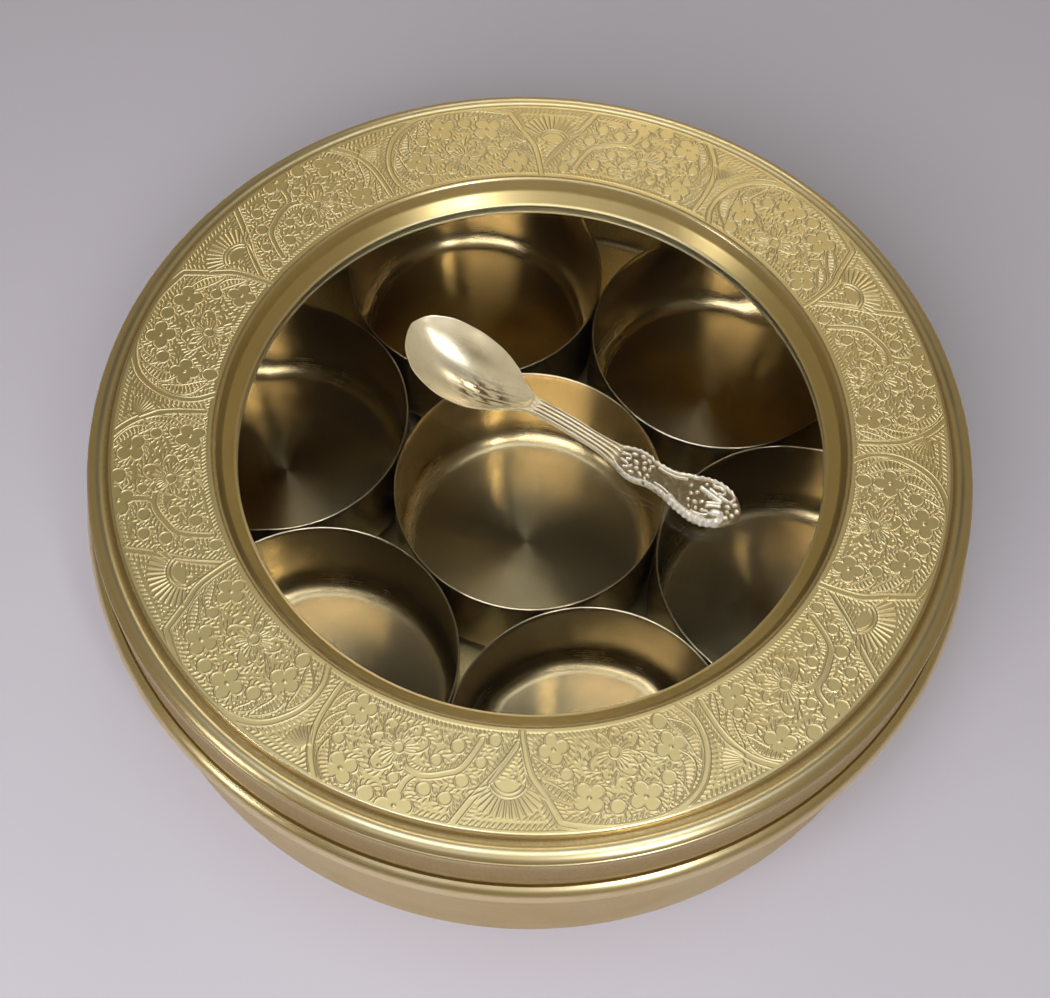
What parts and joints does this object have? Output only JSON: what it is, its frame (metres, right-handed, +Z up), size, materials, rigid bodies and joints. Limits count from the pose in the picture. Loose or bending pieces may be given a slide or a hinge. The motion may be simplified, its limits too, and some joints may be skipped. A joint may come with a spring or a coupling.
{
  "type": "spice box",
  "caption": "Round sheet-brass spice box with an embossed lid ring, a see-through window, small round cups inside and a spoon resting on the glass.",
  "frame": {"origin": "centre of the box's flat base, on the surface that it stands on", "axes": "+Z up out of the lid, -Y towards the person using it, +X to their right"},
  "size_m": [0.221, 0.221, 0.0642],
  "materials": {
    "satin_brass": "satin, fine turned grain",
    "embossed_brass": "satin, embossed with flowers and fans, plain polished shoulder and bevel",
    "cup_brass": "spun, fine concentric lines, bright cut rim",
    "clear_glass": "clear, polished",
    "black_rubber": "matt",
    "old_silver": "silver plate with dark tarnish in the recesses"
  },
  "bodies": {
    "box": {"box_body": "satin_brass"},
    "lid": {"lid_cover": "embossed_brass", "window_gasket": "black_rubber", "window_glass": "clear_glass", "retaining_ring": "satin_brass"},
    "spoon": {"spoon": "old_silver"},
    "cup_center": {"cup_center": "cup_brass"},
    "cup_1": {"cup_1": "cup_brass"},
    "cup_2": {"cup_2": "cup_brass"},
    "cup_3": {"cup_3": "cup_brass"},
    "cup_4": {"cup_4": "cup_brass"},
    "cup_5": {"cup_5": "cup_brass"},
    "cup_6": {"cup_6": "cup_brass"}
  },
  "joints": [
    {"name": "lid_lift", "type": "slide", "parent": "box", "child": "lid", "axis": [0, 0, 1], "range_m": [0, 0.15]},
    {"name": "spoon_lift", "type": "slide", "parent": "lid", "child": "spoon", "axis": [0, 0, 1], "range_m": [0, 0.06]},
    {"name": "cup_center_lift", "type": "slide", "parent": "box", "child": "cup_center", "axis": [0, 0, 1], "range_m": [0, 0.06]},
    {"name": "cup_1_lift", "type": "slide", "parent": "box", "child": "cup_1", "axis": [0, 0, 1], "range_m": [0, 0.06]},
    {"name": "cup_2_lift", "type": "slide", "parent": "box", "child": "cup_2", "axis": [0, 0, 1], "range_m": [0, 0.06]},
    {"name": "cup_3_lift", "type": "slide", "parent": "box", "child": "cup_3", "axis": [0, 0, 1], "range_m": [0, 0.06]},
    {"name": "cup_4_lift", "type": "slide", "parent": "box", "child": "cup_4", "axis": [0, 0, 1], "range_m": [0, 0.06]},
    {"name": "cup_5_lift", "type": "slide", "parent": "box", "child": "cup_5", "axis": [0, 0, 1], "range_m": [0, 0.06]},
    {"name": "cup_6_lift", "type": "slide", "parent": "box", "child": "cup_6", "axis": [0, 0, 1], "range_m": [0, 0.06]}
  ],
  "couplings": [
    {"joint": "cup_center_lift", "follows": "lid_lift", "ratio": 0.4},
    {"joint": "cup_1_lift", "follows": "lid_lift", "ratio": 0.4},
    {"joint": "cup_2_lift", "follows": "lid_lift", "ratio": 0.4},
    {"joint": "cup_3_lift", "follows": "lid_lift", "ratio": 0.4},
    {"joint": "cup_4_lift", "follows": "lid_lift", "ratio": 0.4},
    {"joint": "cup_5_lift", "follows": "lid_lift", "ratio": 0.4},
    {"joint": "cup_6_lift", "follows": "lid_lift", "ratio": 0.4}
  ]
}
